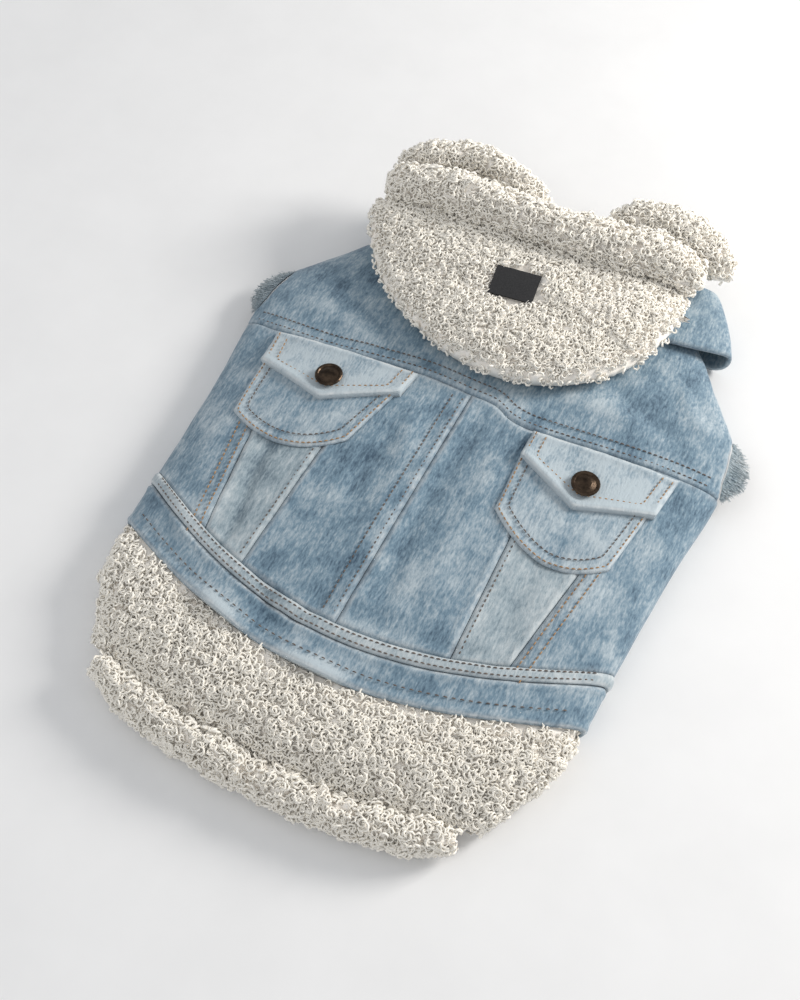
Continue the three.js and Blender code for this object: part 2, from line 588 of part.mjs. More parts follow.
// The crown's plan is D-shaped: straight lines from the brim's crease to the outline.
function hoodGrid(inset, rows, cols, creaseY) {
  const bearings = fromTo(HOOD_OUTLINE[0].bearing + 5, HOOD_OUTLINE[HOOD_OUTLINE.length - 1].bearing - 5, cols);
  return fromTo(0, 1, rows).map((v) => bearings.map((bearing) => {
    const [x, edgeY] = hoodEdge(bearing, inset);
    return [x, lerp(Math.min(edgeY, creaseY(x) - 0.5), creaseY(x), 1 - (1 - v) ** 0.625)];
  }));
}

// The height that the hood's under layer lies at: on the yoke, then on the collar.
function hoodRest(x, y) {
  const across = Math.min(Math.abs(x), HOOD_REST_REACH);
  const topAt = (sizes) => sectionPoint(sizes, Math.asin(across / sizes.half) * 2 / Math.PI, y).z;
  const collar = collarSizes(THREE.MathUtils.clamp(y - COLLAR_LAG, COLLAR[0].y, COLLAR[3].y));
  return HOOD_REST_GAP + lerp(topAt(bodySizes(y)), topAt(collar), THREE.MathUtils.smoothstep(y, 108, 130));
}

const hoodRim = (x, y) => hoodRest(x, y) + SHERPA_UNDER + 3 * SEAM_GAP;

function buildHood() {
  const creaseY = (x) => brimRow(x).y - brimRow(x).deep - SEAM_GAP;
  const surface = (inset, rise) => hoodGrid(inset, 8, 22, creaseY).map((row) => row.map(([x, y]) => (
    new THREE.Vector3(x, y, hoodRim(x, y) + rise * hoodHeight(x, y, inset)))));
  addPiece('hood_crown', wall(surface(0, HOOD.rise), surface(SHERPA, HOOD.rise - SHERPA)), COLOURS.sherpa);
  addPiece('hood_brim', roll(BRIM, 12), COLOURS.sherpa);
  for (const [word] of SIDES) {
    addPiece(`hood_lobe_${word}`, roll(LOBES[word], 12), COLOURS.sherpa);
  }
}

// The under layer lies on the yoke and the collar, and turns down over the crest to the neck seam.
function buildHoodUnder() {
  const turn = [{ y: 190.5, drop: 0 }, { y: 194.5, drop: 1.6 }, { y: 196.5, drop: 4.6 }];
  const bearings = fromTo(HOOD_OUTLINE[0].bearing + 8, HOOD_OUTLINE[HOOD_OUTLINE.length - 1].bearing - 8, 18);
  const edges = bearings.map((bearing) => hoodEdge(bearing, 4));
  const flat = fromTo(0, 1, 5).map((v) => edges.map(([x, y]) => (
    new THREE.Vector3(x, lerp(y, 186, v), hoodRest(x, lerp(y, 186, v))))));
  const turned = turn.map(({ y, drop }) => edges.map(([x]) => new THREE.Vector3(x, y, hoodRest(x, 190) - drop)));
  const lower = [...flat, ...turned];
  const upper = lower.map((line, i) => line.map((point) => {
    const after = lower[Math.min(i + 1, lower.length - 1)][0];
    const before = lower[Math.max(i - 1, 0)][0];
    const [dy, dz] = i < 5 ? [1, 0] : [after.y - before.y, after.z - before.z];
    const length = Math.hypot(dy, dz);
    return point.clone().add(new THREE.Vector3(0, -dz / length * SHERPA_UNDER, dy / length * SHERPA_UNDER));
  }));
  addPiece('hood_under', wall(upper, lower), COLOURS.sherpa);
}

function buildLabel() {
  const turn = radians(LABEL.turn);
  const cells = fromTo(-0.5, 0.5, 2).map((v) => fromTo(-0.5, 0.5, 3).map((u) => {
    const [dx, dy] = [u * LABEL.wide, v * LABEL.tall];
    const x = LABEL.x + dx * Math.cos(turn) - dy * Math.sin(turn);
    const y = LABEL.y + dx * Math.sin(turn) + dy * Math.cos(turn);
    const point = new THREE.Vector3(x, y, hoodRim(x, y) + HOOD.rise * hoodHeight(x, y, 0));
    return { point, normal: new THREE.Vector3(0, 0, 1) };
  }));
  addPiece('label', layer(cells, SEAM_GAP + 0.2, SEAM_GAP + 0.2 + LABEL.thick), COLOURS.label);
}

// ---------------------------------------------------------------- assembly

buildBack();
buildYoke();
buildBelly();
buildWaist();
for (const [word, side] of SIDES) {
  buildPocket(word, side);
  buildFrill(word, side);
}
buildTail();
buildCollar();
buildHoodUnder();
buildHood();
buildLabel();

// The origin is the middle of the underside of the whole garment's box.
const box = new THREE.Box3().setFromObject(jacket);
jacket.position.set(-(box.min.x + box.max.x) / 2, -(box.min.y + box.max.y) / 2, -box.min.z);
jacket.updateMatrixWorld(true);

export default jacket;
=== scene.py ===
"""A dog jacket in washed denim with a fleece hood and tail panel, laid flat with its back up."""
import math
import bpy
import numpy as np
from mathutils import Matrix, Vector, noise


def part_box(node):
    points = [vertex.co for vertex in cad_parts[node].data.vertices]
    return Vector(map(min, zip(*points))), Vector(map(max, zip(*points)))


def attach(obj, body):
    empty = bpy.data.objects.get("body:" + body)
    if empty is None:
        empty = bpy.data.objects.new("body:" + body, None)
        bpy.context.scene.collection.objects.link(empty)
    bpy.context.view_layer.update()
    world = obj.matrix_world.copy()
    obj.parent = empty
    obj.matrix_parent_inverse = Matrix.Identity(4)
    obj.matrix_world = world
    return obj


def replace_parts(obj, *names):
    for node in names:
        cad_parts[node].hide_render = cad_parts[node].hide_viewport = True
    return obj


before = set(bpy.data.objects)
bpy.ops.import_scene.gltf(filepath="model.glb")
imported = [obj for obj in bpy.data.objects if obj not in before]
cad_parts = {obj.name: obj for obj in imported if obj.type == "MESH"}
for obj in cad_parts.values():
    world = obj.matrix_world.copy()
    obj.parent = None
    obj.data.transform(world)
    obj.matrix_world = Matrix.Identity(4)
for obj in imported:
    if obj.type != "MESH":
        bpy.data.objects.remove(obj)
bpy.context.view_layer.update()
MM = 0.001
rng = np.random.default_rng(7)

# ---- the garment's own frame: millimetres, y from the middle of the back to the neck ----
BELLY_HEM_Y = -50.0
SHIFT_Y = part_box("belly")[0][1] / MM - BELLY_HEM_Y
NECK_Y = 180
DENIM, PATCH, GAP = 2.0, 1.2, 0.3      # cloth thicknesses, and the clear space at seams
POWER, SIDE_ROUND, FLAT_STEP = 2.7, 12.0, 100.0
YOKE_HALF = 139
WAIST_CENTRE_Y, WAIST_RISE = -92, 42   # the waist seam, and how far it rises to the sides
STRIP_WIDTH, STRIP_PROUD = 7.5, 0.8
BAND_CENTRE_Y, BAND_RISE = -119, 36    # the free edge of the waistband
BAND_END_T = 2.04                      # the band and the tail end just under the side folds
TAIL_TUCK = 13                         # how far the tail starts below the waist seam
CREASE_CENTRE_Y, CREASE_RISE, CREASE_HALF = -162, 16, 98
BELLY_SEAM_X = 104.8
FLAP_TIP_LIFT = 2.4
SHORTEST_CUT = 0.0102                  # the least width, in metres, that flat_size gives a sheet

BODY = dict(
    y=[-125, -84, -50, 0, 30, 58, 84, 102, 116, 130, 145, 158, 182],
    half=[122, 127, 128.5, 131.5, 134.5, 138, 138.5, 134, 124, 113, 102, 92, 83],
    top=[27.5, 29, 30, 30.5, 30.2, 29.5, 29, 28, 27, 26, 25, 23.6, 22],
    fold=[10, 11, 11, 11, 11, 11, 11, 11, 11, 11.5, 12, 12.5, 13],
    under=[0, 0, 0, 0, 0, 0, 0, 0, 0, 1.5, 3.4, 4, 4])
TAIL = dict(
    v=[0, .25, .5, .75, .92, 1], half=[122.6, 123.8, 121.5, 113.5, 105.5, 102],
    top=[25.4, 25, 25, 23.5, 19, 14.5], fold=[10.5, 10.5, 10.5, 10, 9.3, 9], under=[2.6, 2.6, 0, 0, 0, 0])
COLLAR = dict(
    k=[0, 1, 2, 3, 4, 5, 6, 7], y=[140, 158, 174, 186, 190, 189, 185, 180.4],
    rise=[17, 10, 7, 7, 7, 6, 3, 0], half=[113, 108.5, 101.5, 93.5, 89, 85.4, 82.6, 81.4],
    top=[29.4, 28.4, 27.2, 25.8, 24.4, 22.6, 21, 20.1], fold=[13.5, 13.5, 13.5, 13.5, 13.4, 13.2, 13, 13],
    under=[0, 0, 0, .5, 2, 3.6, 4.8, 5.9])
YOKE_SEAM = dict(x=[-139, -110, -82, -31, 0, 14, 25, 38, 95, 139],
                 y=[57, 54.5, 54.5, 60.5, 60, 59.5, 54.5, 53.5, 60.5, 66])
HOOD_OUTLINE = dict(b=[-184, -150, -120, -90, -60, -30, 8], reach=[97, 81, 75, 78, 84, 89, 93])
BRIM = dict(
    x=[-103, -96, -72, -45, -20, 4, 22, 42, 62, 76, 81],
    y=[164, 166, 167.5, 166, 165.5, 167, 169.5, 172.5, 176, 178, 178.5],
    z=[40, 44.5, 50, 52, 52.5, 52.5, 52.5, 51.5, 48.5, 43.5, 41],
    deep=[8, 11.5, 12, 12, 12, 12, 12, 12, 11.5, 9.5, 6.5],
    high=[7.5, 10, 11, 11.5, 11.5, 11.5, 11.5, 11.5, 11, 9.5, 7])
LOBE_LEFT = dict(
    x=[-102, -98, -87, -70, -54, -39, -26, -17], y=[182, 188.3, 193.5, 197.5, 197.5, 194.5, 189, 185],
    z=[37.5, 40.5, 43.5, 46, 47, 46.5, 45.5, 42.5], deep=[6, 9, 10, 10, 10, 9.5, 9, 6],
    high=[6, 9, 10, 10.5, 10.5, 10, 9, 6])
LOBE_RIGHT = dict(
    x=[91, 86, 76, 62, 48, 37, 29.5, 26.5], y=[187.8, 194.3, 198.7, 202.3, 203.3, 199.8, 195.3, 188.8],
    z=[38.5, 41.5, 44, 46, 46.5, 46, 45, 42.5], deep=[5.5, 8.5, 11.2, 12, 12.5, 12, 8, 6],
    high=[6, 9, 10, 10, 10, 9.5, 8.5, 6])
# Soft folds and troughs of the back: from, to, reach and height.
FOLDS = [
    (8, 46, 14, -78, 7, -1.5), (-20, 40, -8, -60, 8, 1.2), (-30, 20, -26, -30, 7, -1.1),
    (26, 30, 34, -60, 9, 0.9), (78, 0, 70, -70, 8, -1.1), (-78, -14, -74, -80, 5, -1.5),
    (-88, -20, -86, -75, 6, 1.0), (105, 10, 92, -60, 10, 1.1), (-112, 20, -104, -50, 9, 0.9),
    (-29, -108, -46, -84, 5, -1.6), (-29, -108, -8, -82, 5, -1.6), (44, 80, 92, 88, 9, 1.2),
    (60, 106, 112, 78, 8, -1.2), (-60, 66, -112, 84, 9, 1.0), (96, 116, 122, 96, 6, 1.3),
    (-10, -70, 30, -74, 6, 0.8), (50, -84, 84, -72, 5, -0.9), (-112, -60, -84, -84, 6, 1.0),
    (112, 62, 126, 30, 7, -1.1), (-120, 60, -126, 20, 7, -0.9),
]
BAND_WAVES = [(-54, 24, 6.0), (0, 27, 4.5)]


def curve(table, key, value):
    """A smooth curve through one column of a table."""
    x, v = np.array(table[key], float), np.array(table[value], float)
    if x[0] > x[-1]:
        x, v = x[::-1], v[::-1]
    n = len(x)
    before, after = np.maximum(np.arange(n) - 1, 0), np.minimum(np.arange(n) + 1, n - 1)
    slope = (v[after] - v[before]) / (x[after] - x[before])

    def at(place):
        place = np.clip(place, x[0], x[-1])
        k = np.clip(np.searchsorted(x, place, side="right") - 1, 0, n - 2)
        span = x[k + 1] - x[k]
        u = (place - x[k]) / span
        rise = u * u * (3 - 2 * u)
        return (v[k] + (v[k + 1] - v[k]) * rise + slope[k] * span * u * (1 - u) ** 2
                - slope[k + 1] * span * u * u * (1 - u))
    return at


def curves(table, key, values):
    made = [curve(table, key, value) for value in values]
    return lambda at: [c(at) for c in made]


SIZES = ("half", "top", "fold", "under")
body_sizes = curves(BODY, "y", SIZES)
tail_sizes = curves(TAIL, "v", SIZES)
collar_sizes = curves(COLLAR, "k", SIZES)
collar_y, collar_rise = curve(COLLAR, "k", "y"), curve(COLLAR, "k", "rise")
collar_row = curve(dict(y=COLLAR["y"][:4], k=[0, 1, 2, 3]), "y", "k")
yoke_at = curve(YOKE_SEAM, "x", "y")
hood_reach = curve(HOOD_OUTLINE, "b", "reach")
brim_y, brim_deep = curve(BRIM, "x", "y"), curve(BRIM, "x", "deep")


def section(sizes, t, y):
    half, top, fold, under = sizes
    under = np.maximum(under, 0)
    side, a = np.where(t < 0, -1.0, 1.0), np.abs(t)
    part = np.sin(np.clip(a, 0, 1) * np.pi / 2)
    turn = np.clip(a - 1, 0, 1) * np.pi / 2
    past = np.maximum(a - 2, 0) * FLAT_STEP
    x = np.where(a <= 1, half * part, half - SIDE_ROUND * (1 - np.cos(turn)) - past)
    z = np.where(a <= 1, fold + (top - fold) * np.maximum(1 - part ** POWER, 0) ** (1 / POWER),
                 fold - (fold - under) * np.sin(turn))
    return np.stack([side * x, y + 0 * x, z], -1)


def body_point(t, y):
    return section(body_sizes(y), t, y)


def share(t):
    return np.sign(t) * np.where(np.abs(t) < 1, np.sin(np.clip(np.abs(t), 0, 1) * np.pi / 2), 1)


def t_at(x, y):
    return np.sign(x) * np.arcsin(np.clip(np.abs(x) / body_sizes(y)[0], 0, 1)) * 2 / np.pi


def t_under(x, y):
    return 2 + (body_sizes(y)[0] - SIDE_ROUND - x) / FLAT_STEP


def smooth(x, a, b):
    u = np.clip((x - a) / (b - a), 0, 1)
    return u * u * (3 - 2 * u)


def hump(distance, reach):
    return (1 - np.minimum(np.abs(distance) / reach, 1) ** 2) ** 2


def yoke_seam(t):
    return yoke_at(share(t) * YOKE_HALF)


def waist_seam(t):
    return WAIST_CENTRE_Y + WAIST_RISE * share(t) ** 2


def band_edge(t):
    return BAND_CENTRE_Y + BAND_RISE * share(t) ** 2


def noise_at(points, scale, seed=0.0):
    """Smooth noise, about -1 to 1, at each point of an array in millimetres."""
    flat = points.reshape(-1, 3) / scale + seed
    return np.array([noise.noise(Vector(p)) for p in flat]).reshape(points.shape[:-1])


def fold_height(points):
    """How far the listed folds lift the cloth at each point."""
    x, y = points[..., 0], points[..., 1]
    lift = np.zeros_like(x)
    for x0, y0, x1, y1, reach, height in FOLDS:
        dx, dy = x1 - x0, y1 - y0
        long = math.hypot(dx, dy)
        u = ((x - x0) * dx + (y - y0) * dy) / long ** 2
        bow = 2.5 * np.sin(u * 5 + x0)
        off = ((x - x0) * dy - (y - y0) * dx) / long + bow
        ends = smooth(u, -0.12, 0.15) * (1 - smooth(u, 0.8, 1.12))
        lift += height * np.exp(-(off / reach) ** 2 * 1.6) * ends
    return lift


def normals(grid):
    across = np.gradient(grid, axis=1)
    along = np.gradient(grid, axis=0)
    n = np.cross(across, along)
    return n / np.maximum(np.linalg.norm(n, axis=-1, keepdims=True), 1e-9)


def edge_distance(grid, ring=False):
    step_r = np.linalg.norm(np.diff(grid, axis=0), axis=-1)
    sr = np.vstack([np.zeros((1, grid.shape[1])), np.cumsum(step_r, 0)])
    d = np.minimum(sr, sr[-1:] - sr)
    if not ring:
        step_c = np.linalg.norm(np.diff(grid, axis=1), axis=-1)
        sc = np.hstack([np.zeros((grid.shape[0], 1)), np.cumsum(step_c, 1)])
        d = np.minimum(d, np.minimum(sc, sc[:, -1:] - sc))
    return d


# ---------------------------------------------------------------- meshes

def make_mesh(name, vertices, faces, material, attributes=None):
    points = np.asarray(vertices, float).reshape(-1, 3) + (0, SHIFT_Y, 0)
    mesh = bpy.data.meshes.new(name)
    mesh.from_pydata((points * MM).tolist(), [], faces)
    mesh.polygons.foreach_set("use_smooth", [True] * len(mesh.polygons))
    for key, values in (attributes or {}).items():
        layer = mesh.attributes.new(key, "FLOAT", "POINT")
        layer.data.foreach_set("value", np.asarray(values, float).ravel())
    mesh.materials.append(material)
    obj = bpy.data.objects.new(name, mesh)
    bpy.context.scene.collection.objects.link(obj)
    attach(obj, "root")
    return obj


def shell(outer, inner, ring=False):
    """Vertices and faces of the closed wall between two grids."""
    rows, cols = outer.shape[:2]
    count = rows * cols
    last = cols if ring else cols - 1
    i, j = np.meshgrid(np.arange(rows - 1), np.arange(last), indexing="ij")
    a, b = i * cols + j, i * cols + (j + 1) % cols
    d, c = a + cols, b + cols
    faces = [np.stack([a, b, c, d], -1).reshape(-1, 4), np.stack([a, d, c, b], -1).reshape(-1, 4) + count]
    j = np.arange(last)
    n = (j + 1) % cols
    top = (rows - 1) * cols
    faces.append(np.stack([n, j, count + j, count + n], -1))
    faces.append(np.stack([top + j, top + n, count + top + n, count + top + j], -1))
    if not ring:
        r = np.arange(rows - 1) * cols
        faces.append(np.stack([r, r + cols, count + r + cols, count + r], -1))
        e = r + cols - 1
        faces.append(np.stack([e + cols, e, count + e, count + e + cols], -1))
    return np.concatenate([outer.reshape(-1, 3), inner.reshape(-1, 3)]), np.concatenate(faces).tolist()


def cell_areas(grid):
    along, across = grid[1:, :-1] - grid[:-1, :-1], grid[:-1, 1:] - grid[:-1, :-1]
    return np.linalg.norm(np.cross(along, across), axis=-1)


def flat_size(grid):
    """The width, length and area of a grid laid out flat, in metres."""
    rows_long = float(np.linalg.norm(np.diff(grid, axis=0), axis=-1).sum(0).max() * MM)
    cols_long = float(np.linalg.norm(np.diff(grid, axis=1), axis=-1).sum(1).max() * MM)
    width, length = sorted([max(rows_long, SHORTEST_CUT), max(cols_long, SHORTEST_CUT)])
    return width, length, min(float(cell_areas(grid).sum()) * MM ** 2, width * length)


def cloth(name, grid, thick, material, raise_by=0.0, folds=1.0, pucker=0.35, ring=False, tint=0.0,
          turned=0.7):
    """A cloth piece on a grid of points: its folds, puckered seams and turned edges."""
    n = normals(grid)
    d = edge_distance(grid, ring)
    lift = raise_by + folds * fold_height(grid)
    lift = lift + pucker * noise_at(grid, 5.0, 3.1) * np.exp(-d / 7)
    lift = lift + 0.45 * folds * noise_at(grid, 22.0, 9.7)
    lift = lift + 0.8 * turned * np.exp(-((d - 2.6) / 1.7) ** 2) - turned * np.exp(-(d / 1.0) ** 2)
    outer = grid + n * lift[..., None]
    under = lift * (1 - np.exp(-d / 3)) * (folds > 0) + raise_by * (folds == 0) - thick
    inner = grid + n * under[..., None]
    vertices, faces = shell(outer, inner, ring)
    # Painted light and shade: the colour value gets 0.22 paler for each mm the cloth is raised, so fold
    # crests, puckers, pockets, flaps and band waves are painted lighter and troughs and edge dips darker. The
    # noise and tint are the denim's own wash mottling and piece tone.
    fade = 0.5 + 0.22 * lift + 0.3 * noise_at(grid, 14.0, 1.3) + tint
    wear = np.exp(-((d - 0.9) / 0.9) ** 2) * (0.55 + 0.6 * noise_at(grid, 4.0, 5.5))
    obj = make_mesh(name, vertices, faces, material, {"fade": np.tile(fade.ravel(), 2),
                                                      "wear": np.tile(wear.ravel(), 2)})
    width, length, area = flat_size(grid)
    return obj


def patch(left, right, low, high, rows, cols):
    r, c = np.meshgrid(np.linspace(0, 1, rows), np.linspace(0, 1, cols), indexing="ij")
    t = np.zeros_like(r)
    y = low(t) + (high(t) - low(t)) * r
    for _ in range(14):
        t = left(y) + (right(y) - left(y)) * c
        y = low(t) + (high(t) - low(t)) * r
    return body_point(t, y), t, y


# ---------------------------------------------------------------- materials

def new_material(name, roughness, sheen=0.0, metallic=0.0):
    material = bpy.data.materials.new(name)
    material.use_nodes = True
    nodes, links = material.node_tree.nodes, material.node_tree.links
    shader = nodes["Principled BSDF"]
    shader.inputs["Roughness"].default_value = roughness
    shader.inputs["Metallic"].default_value = metallic
    shader.inputs["Sheen Weight"].default_value = sheen
    coords = nodes.new("ShaderNodeTexCoord")

    def tex(scale, detail=3.0, rough=0.55, stretch=None):
        node = nodes.new("ShaderNodeTexNoise")
        node.inputs["Scale"].default_value = scale
        node.inputs["Detail"].default_value = detail
        node.inputs["Roughness"].default_value = rough
        source = coords.outputs["Object"]
        if stretch:
            mapping = nodes.new("ShaderNodeMapping")
            mapping.inputs["Scale"].default_value = stretch[:3]
            mapping.inputs["Rotation"].default_value = (0, 0, stretch[3])
            links.new(source, mapping.inputs["Vector"])
            source = mapping.outputs["Vector"]
        links.new(source, node.inputs["Vector"])
        return node.outputs["Fac"]

    def maths(kind, a, b, clamp=False):
        node = nodes.new("ShaderNodeMath")
        node.operation = kind
        node.use_clamp = clamp
        for k, value in enumerate((a, b)):
            if isinstance(value, (int, float)):
                node.inputs[k].default_value = value
            else:
                links.new(value, node.inputs[k])
        return node.outputs[0]

    def ramp(value, stops):
        node = nodes.new("ShaderNodeValToRGB")
        while len(node.color_ramp.elements) < len(stops):
            node.color_ramp.elements.new(0.5)
        for element, (at, colour) in zip(node.color_ramp.elements, stops):
            element.position = at
            element.color = (*colour, 1)
        links.new(value, node.inputs["Fac"])
        return node.outputs["Color"]

    def blend(a, b, amount):
        node = nodes.new("ShaderNodeMix")
        node.data_type = "RGBA"
        links.new(amount, node.inputs["Factor"])
        for key, value in ((6, a), (7, b)):
            if isinstance(value, tuple):
                node.inputs[key].default_value = (*value, 1)
            else:
                links.new(value, node.inputs[key])
        return node.outputs[2]

    def attribute(key):
        node = nodes.new("ShaderNodeAttribute")
        node.attribute_name = key
        return node.outputs["Fac"]

    def bump(height, distance, strength=1.0):
        node = nodes.new("ShaderNodeBump")
        node.inputs["Distance"].default_value = distance
        node.inputs["Strength"].default_value = strength
        links.new(height, node.inputs["Height"])
        links.new(node.outputs["Normal"], shader.inputs["Normal"])

    def colour(value):
        links.new(value, shader.inputs["Base Color"])
    return material, tex, maths, ramp, blend, attribute, bump, colour


def denim(name, deep, mid, pale, worn):
    material, tex, maths, ramp, blend, attribute, bump, colour = new_material(name, 0.86, 0.25)
    wash = maths("ADD", maths("MULTIPLY", tex(70, 4, 0.7), 0.75), maths("MULTIPLY", tex(17, 3), 0.55))
    # The attribute read here carries painted light and shade from the cloth's height (raised parts paler,
    # troughs darker), along with the real wash mottling.
    tone = maths("ADD", maths("MULTIPLY", attribute("fade"), 0.42), maths("SUBTRACT", wash, 0.36))
    grain = tex(900, 2, 0.6, (1, 0.35, 1, 0.9))
    slub = tex(420, 2, 0.6, (1, 0.12, 1, 0.06))
    tone = maths("ADD", tone, maths("MULTIPLY", maths("SUBTRACT", grain, 0.5), 0.75))
    tone = maths("ADD", tone, maths("MULTIPLY", maths("SUBTRACT", slub, 0.5), 0.5), True)
    base = ramp(tone, [(0.12, deep), (0.45, mid), (0.85, pale)])
    amount = maths("MULTIPLY", attribute("wear"), maths("MULTIPLY", tex(260, 2), 1.5), True)
    colour(blend(base, worn, amount))
    bump(maths("ADD", maths("MULTIPLY", grain, 0.6), maths("MULTIPLY", slub, 0.6)), 0.0006, 0.8)
    return material


def fleece(name, dark, light):
    material, tex, maths, ramp, blend, attribute, bump, colour = new_material(name, 0.95, 0.15)
    shader = material.node_tree.nodes["Principled BSDF"]
    shader.inputs["Specular IOR Level"].default_value = 0.2
    # Painted shade: the colour ramp runs darker where the pile sits low and at the ends of each curl, and
    # paler on the high tufts. The noise patches are the fleece's own uneven tone.
    patches, height = maths("MULTIPLY", tex(60, 3), 0.3), maths("MULTIPLY", attribute("depth"), 0.75)
    tone = maths("ADD", patches, height, True)
    colour(ramp(tone, [(0.1, dark), (0.6, light)]))
    bump(maths("ADD", tex(520, 3, 0.7), tex(1500, 2)), 0.0002, 0.3)
    return material


BLUE = denim("washed_denim", (0.035, 0.075, 0.12), (0.15, 0.235, 0.305), (0.43, 0.50, 0.54),
             (0.68, 0.70, 0.70))
GREY = denim("faded_denim", (0.10, 0.15, 0.19), (0.28, 0.35, 0.39), (0.50, 0.55, 0.57), (0.66, 0.68, 0.68))
DARK = denim("dark_denim", (0.03, 0.06, 0.1), (0.13, 0.21, 0.3), (0.34, 0.45, 0.55), (0.6, 0.66, 0.7))
PILE = fleece("fleece_base", (0.86, 0.77, 0.66), (0.97, 0.93, 0.87))
CURL = fleece("fleece_curls", (0.94, 0.87, 0.76), (0.99, 0.95, 0.87))


def plain(name, dark, light, scale, roughness, metallic=0.0, depth=0.0002):
    material, tex, maths, ramp, blend, attribute, bump, colour = new_material(name, roughness, 0, metallic)
    colour(ramp(tex(scale, 3, 0.6), [(0.3, dark), (0.7, light)]))
    bump(tex(scale * 3, 2), depth, 0.6)
    return material


THREAD = plain("tan_thread", (0.26, 0.13, 0.05), (0.5, 0.3, 0.14), 300, 0.6)
BROWN = plain("brown_thread", (0.07, 0.055, 0.05), (0.2, 0.15, 0.12), 300, 0.7)
BRONZE = plain("bronze", (0.02, 0.014, 0.01), (0.09, 0.062, 0.042), 240, 0.36, 0.9)
WOVEN = plain("woven_label", (0.006, 0.006, 0.007), (0.022, 0.022, 0.024), 1400, 0.7, 0, 0.0003)

# ---------------------------------------------------------------- denim panels

SIDES = (("left", -1), ("right", 1))
HALF_GAP = GAP / 2


def seam_x(bottom, top, y):
    return bottom + (top - bottom) * (y + 82) / 142


def inner_seam(y):
    return seam_x(57.0, 52.5, y)


def outer_seam(y):
    return seam_x(82.5, 104.5, y)


def back_low(t):
    return waist_seam(t) + HALF_GAP


def back_high(t):
    return yoke_seam(t) - HALF_GAP


for word, side in SIDES:
    def ordered(a, b, side=side):
        return (a, b) if side > 0 else (b, a)
    l, r = ordered(lambda y, s=side: t_at(s * (HALF_GAP + 0 * y), y),
                   lambda y, s=side: t_at(s * (inner_seam(y) - HALF_GAP), y))
    grid, _, _ = patch(l, r, back_low, back_high, 96, 40)
    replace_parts(cloth(f"back_{word}_cloth", grid, DENIM, BLUE), f"back_{word}")
    l, r = ordered(lambda y, s=side: t_at(s * (inner_seam(y) + HALF_GAP), y),
                   lambda y, s=side: t_at(s * (outer_seam(y) - HALF_GAP), y))
    grid, _, _ = patch(l, r, back_low, back_high, 96, 30)
    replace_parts(cloth(f"wedge_{word}_cloth", grid, DENIM, GREY), f"wedge_{word}")
    l, r = ordered(lambda y, s=side: s * t_at(outer_seam(y) + HALF_GAP, y),
                   lambda y, s=side: s * t_under(BELLY_SEAM_X + HALF_GAP, y))
    grid, _, _ = patch(l, r, back_low, back_high, 60, 44)
    grid[..., 2] = np.maximum(grid[..., 2], 0.0)
    low = smooth(grid[..., 2], 3, 12)
    obj = cloth(f"side_{word}_cloth", grid, DENIM, BLUE, folds=low, turned=0.0, pucker=0.0)
    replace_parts(obj, f"side_{word}")


def armhole_share(y):
    return hump(y - 85.5, 20.5) ** 0.4


def yoke_edge(y):
    return 1 + (0.88 - 1) * np.minimum(armhole_share(y) * 1.15, 1)


grid, _, _ = patch(lambda y: -yoke_edge(y), yoke_edge, lambda t: yoke_seam(t) + HALF_GAP,
                   lambda t: NECK_Y + 0 * t, 70, 110)
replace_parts(cloth("yoke_cloth", grid, DENIM, BLUE, tint=-0.05), "yoke")

ys = np.linspace(BELLY_HEM_Y, NECK_Y, 50)
u = np.linspace(1, -1, 40)
Y, U = np.meshgrid(ys, u, indexing="ij")
seam, notch = t_under(104.65, Y), t_under(96, Y)
edge = np.where(Y < 56, seam, np.where(Y < 68, seam + (notch - seam) * (Y - 56) / 12,
                                       notch + (1.01 - notch) * smooth(Y, 95, 107)))
middle = 2 + (body_sizes(Y)[0] - SIDE_ROUND) / FLAT_STEP
T = np.where(U < 0, -1, 1) * (middle + (edge - middle) * np.abs(U))
obj = cloth("belly_cloth", body_point(T, Y), DENIM, BLUE, folds=0.0, pucker=0.0, turned=0.0)
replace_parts(obj, "belly")

# ---------------------------------------------------------------- waist strip and band


def band_lift(x):
    return sum(lift * hump(x - at, reach) for at, reach, lift in BAND_WAVES)


def band_start(y):
    return -BAND_END_T + 0 * y


def band_stop(y):
    return BAND_END_T + 0 * y


grid, t, _ = patch(band_start, band_stop, lambda t: waist_seam(t) - STRIP_WIDTH + HALF_GAP,
                   lambda t: waist_seam(t) - HALF_GAP, 10, 200)
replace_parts(cloth("waist_strip_cloth", grid, DENIM, GREY, raise_by=STRIP_PROUD * smooth(2 - np.abs(t), 0, 1),
                  pucker=0.45, turned=0.5), "waist_strip")
grid, t, _ = patch(band_start, band_stop, band_edge,
                   lambda t: waist_seam(t) - STRIP_WIDTH - HALF_GAP, 24, 220)
free = (np.linspace(1, 0, 24) ** 1.5)[:, None]
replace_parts(cloth("waistband_cloth", grid, DENIM, BLUE, raise_by=band_lift(grid[..., 0]) * free,
                  pucker=0.4 * smooth(2 - np.abs(t), 0, 1)), "waistband")

# ---------------------------------------------------------------- pockets and flaps

FLAPS = {
    "right": ([39, 51.8], [117, 61.0], [39.5, 34], [75.5, 17], [113.5, 34]),
    "left": ([-31, 57.8], [-114, 52.6], [-33, 41], [-70, 19], [-111, 30]),
}
POCKETS = {
    "right": ([38.5, 47], [113.5, 54], [41, 0], [75, -17.5], [105, -5]),
    "left": ([-33, 52], [-112, 46], [-44.5, 3], [-74, -13.5], [-108, -5]),
}


def mix(a, b, u):
    a, b = np.array(a, float), np.array(b, float)
    return a[None, :] * (1 - u)[:, None] + b[None, :] * u[:, None]


def bent(a, middle, b, u):
    first, second = np.clip(2 * u, 0, 1), np.clip(2 * u - 1, 0, 1)
    return np.where((u < 0.5)[:, None], mix(a, middle, first), mix(middle, b, second))


